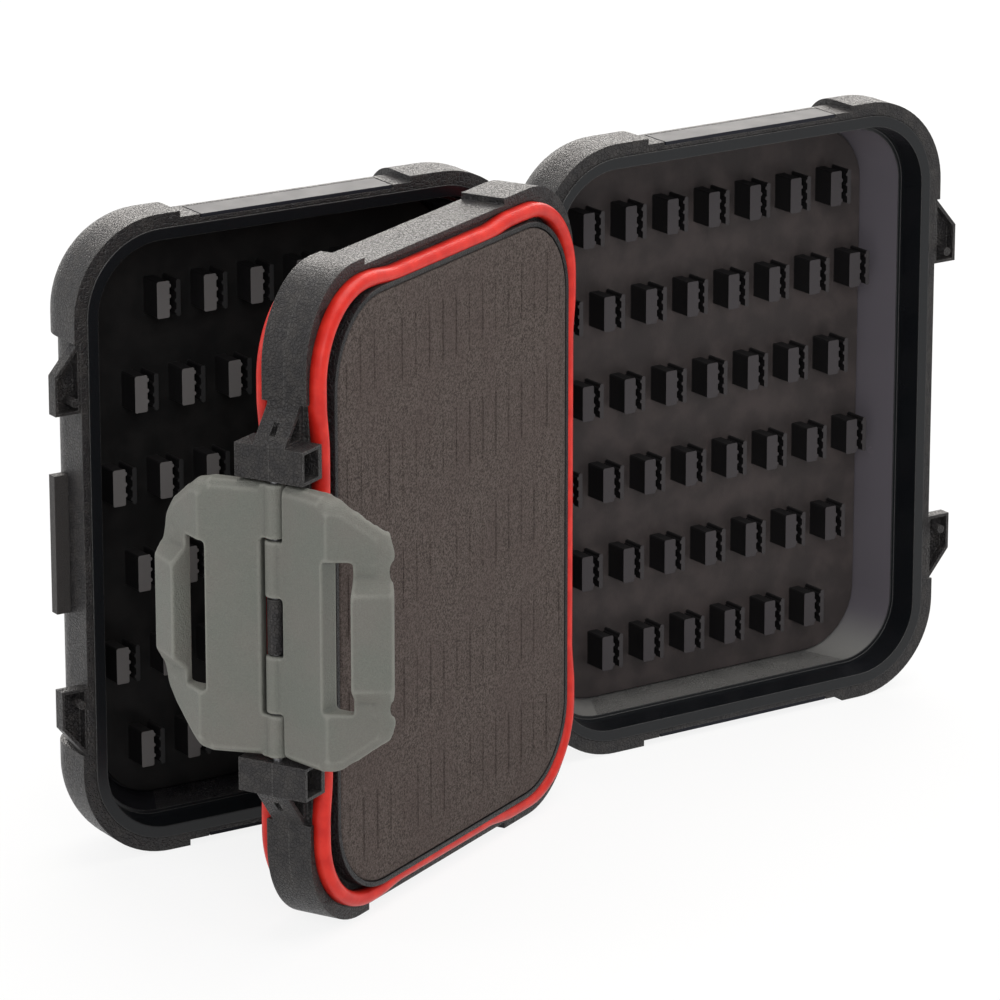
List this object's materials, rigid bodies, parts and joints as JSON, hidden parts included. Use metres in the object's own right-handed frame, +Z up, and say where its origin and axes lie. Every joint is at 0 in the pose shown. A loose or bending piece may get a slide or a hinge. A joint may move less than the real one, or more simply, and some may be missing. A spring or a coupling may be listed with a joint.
{
  "type": "jig box",
  "caption": "Hinged waterproof case that opens like a book: a middle leaf with foam pads and seals, two tray covers with slit post mats, and two latches on one pin.",
  "frame": {"origin": "middle of the flat foot under the latch-side corner of the middle leaf, on the leaf's mid-plane", "axes": "+Z up along the hinge, +Y toward the hinge line, +X toward the right cover; the middle leaf lies in the plane X = 0"},
  "size_m": [0.1237, 0.2457, 0.15],
  "materials": {
    "frame_plastic": "moulded black plastic with a leather grain",
    "cover_plastic": "moulded black plastic, grained outside and glossy inside",
    "strip_plastic": "smooth dark plastic",
    "seal_rubber": "red silicone rubber",
    "foam": "brown-grey closed-cell foam with slits",
    "mat_rubber": "dark moulded rubber",
    "latch_plastic": "grey-green moulded plastic with a fine grain",
    "pin_steel": "drawn steel rod"
  },
  "bodies": {
    "leaf": {"frame_half_left": "frame_plastic", "frame_half_right": "frame_plastic", "gasket_left": "seal_rubber", "gasket_right": "seal_rubber", "foam_pad_left": "foam", "foam_pad_right": "foam", "hinge_pin_lower": "pin_steel", "hinge_pin_upper": "pin_steel", "latch_pin": "pin_steel"},
    "left_cover": {"cover_shell_left": "cover_plastic", "catch_rib_left": "cover_plastic", "top_strip_left": "strip_plastic", "bottom_strip_left": "strip_plastic", "post_mat_left": "mat_rubber"},
    "right_cover": {"cover_shell_right": "cover_plastic", "catch_rib_right": "cover_plastic", "top_strip_right": "strip_plastic", "bottom_strip_right": "strip_plastic", "post_mat_right": "mat_rubber"},
    "left_latch": {"latch_left": "latch_plastic"},
    "right_latch": {"latch_right": "latch_plastic"}
  },
  "joints": [
    {"name": "left_cover_hinge", "type": "hinge", "parent": "leaf", "child": "left_cover", "pos_m": [0, 0.0963, 0.075], "axis": [0, 0, 1], "range_deg": [-8, 27.6]},
    {"name": "right_cover_hinge", "type": "hinge", "parent": "leaf", "child": "right_cover", "pos_m": [0, 0.0963, 0.075], "axis": [0, 0, 1], "range_deg": [-154.2, 5]},
    {"name": "left_latch_pivot", "type": "hinge", "parent": "leaf", "child": "left_latch", "pos_m": [0, -0.0247, 0.075], "axis": [0, 0, 1], "range_deg": [-8, 50]},
    {"name": "right_latch_pivot", "type": "hinge", "parent": "leaf", "child": "right_latch", "pos_m": [0, -0.0247, 0.075], "axis": [0, 0, 1], "range_deg": [-50, 8]}
  ]
}
